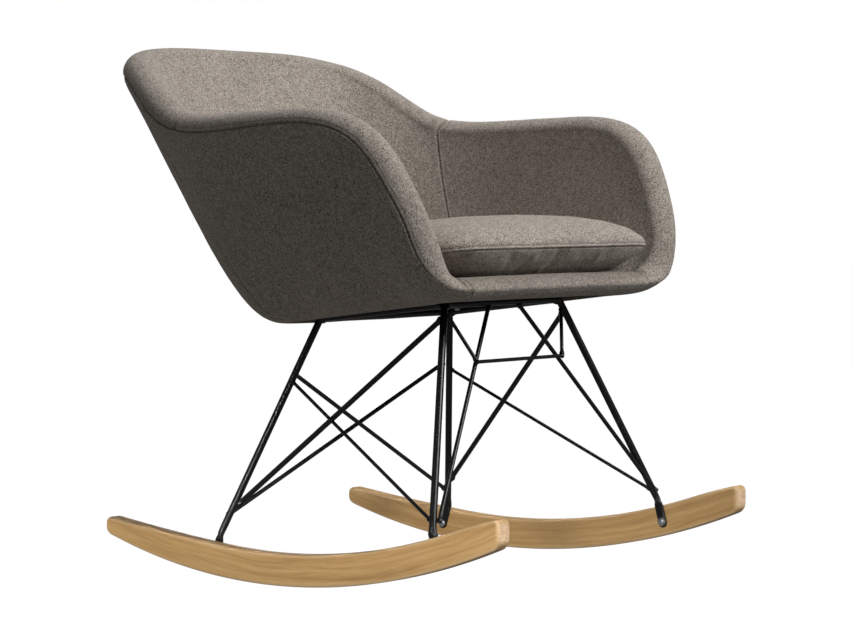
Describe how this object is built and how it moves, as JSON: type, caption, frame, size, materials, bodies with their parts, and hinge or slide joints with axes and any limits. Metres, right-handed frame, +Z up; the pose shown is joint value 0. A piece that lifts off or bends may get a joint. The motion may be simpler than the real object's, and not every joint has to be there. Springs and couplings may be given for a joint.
{
  "type": "rocking chair",
  "caption": "Upholstered bucket-shaped rocking chair with a loose seat cushion, on a braced black wire base and bent wooden rockers.",
  "frame": {"origin": "middle of the chair's plan box, on the floor that the rockers rest on", "axes": "+Z up; the sitter faces -Y, so +Y points out of the back; the sitter's left hand is on the +X side"},
  "size_m": [0.5636, 0.7455, 0.678],
  "materials": {
    "upholstery_fabric": "matte",
    "rocker_wood": "satin",
    "black_steel": "satin",
    "zinc_steel": "satin",
    "lining_fabric": "matte",
    "plywood": "matte",
    "shell_plastic": "matte",
    "rubber": "matte"
  },
  "bodies": {
    "chair": {"arm_pad_left": "upholstery_fabric", "arm_pad_right": "upholstery_fabric", "dust_cover": "lining_fabric", "foot_bolt_front_left": "zinc_steel", "foot_bolt_front_right": "zinc_steel", "foot_bolt_rear_left": "zinc_steel", "foot_bolt_rear_right": "zinc_steel", "foot_washer_front_left": "zinc_steel", "foot_washer_front_right": "zinc_steel", "foot_washer_rear_left": "zinc_steel", "foot_washer_rear_right": "zinc_steel", "front_brace_left": "black_steel", "front_brace_right": "black_steel", "front_rail": "upholstery_fabric", "hanger_left": "black_steel", "hanger_right": "black_steel", "hanger_stretcher": "black_steel", "inner_back_pad": "upholstery_fabric", "leg_front_left": "black_steel", "leg_front_right": "black_steel", "leg_rear_left": "black_steel", "leg_rear_right": "black_steel", "mount_pad_front_left": "rubber", "mount_pad_front_right": "rubber", "mount_pad_rear_left": "rubber", "mount_pad_rear_right": "rubber", "mount_screw_front_left": "zinc_steel", "mount_screw_front_right": "zinc_steel", "mount_screw_rear_left": "zinc_steel", "mount_screw_rear_right": "zinc_steel", "mount_tab_front_left": "black_steel", "mount_tab_front_right": "black_steel", "mount_tab_rear_left": "black_steel", "mount_tab_rear_right": "black_steel", "outer_back_panel": "upholstery_fabric", "outer_side_panel_left": "upholstery_fabric", "outer_side_panel_right": "upholstery_fabric", "rear_cross_left": "black_steel", "rear_cross_right": "black_steel", "rocker_left": "rocker_wood", "rocker_right": "rocker_wood", "seat_board": "plywood", "seat_deck_pad": "upholstery_fabric", "shell_core_back": "shell_plastic", "shell_core_left": "shell_plastic", "shell_core_right": "shell_plastic", "side_brace_left": "black_steel", "side_brace_right": "black_steel", "side_tie_left": "black_steel", "side_tie_right": "black_steel", "top_rail_front": "black_steel", "top_rail_left": "black_steel", "top_rail_rear": "black_steel", "top_rail_right": "black_steel"},
    "cushion": {"seat_cushion": "upholstery_fabric"}
  },
  "joints": [
    {"name": "cushion_lift", "type": "slide", "parent": "chair", "child": "cushion", "axis": [0, 0, 1], "range_m": [0, 0.2]}
  ]
}
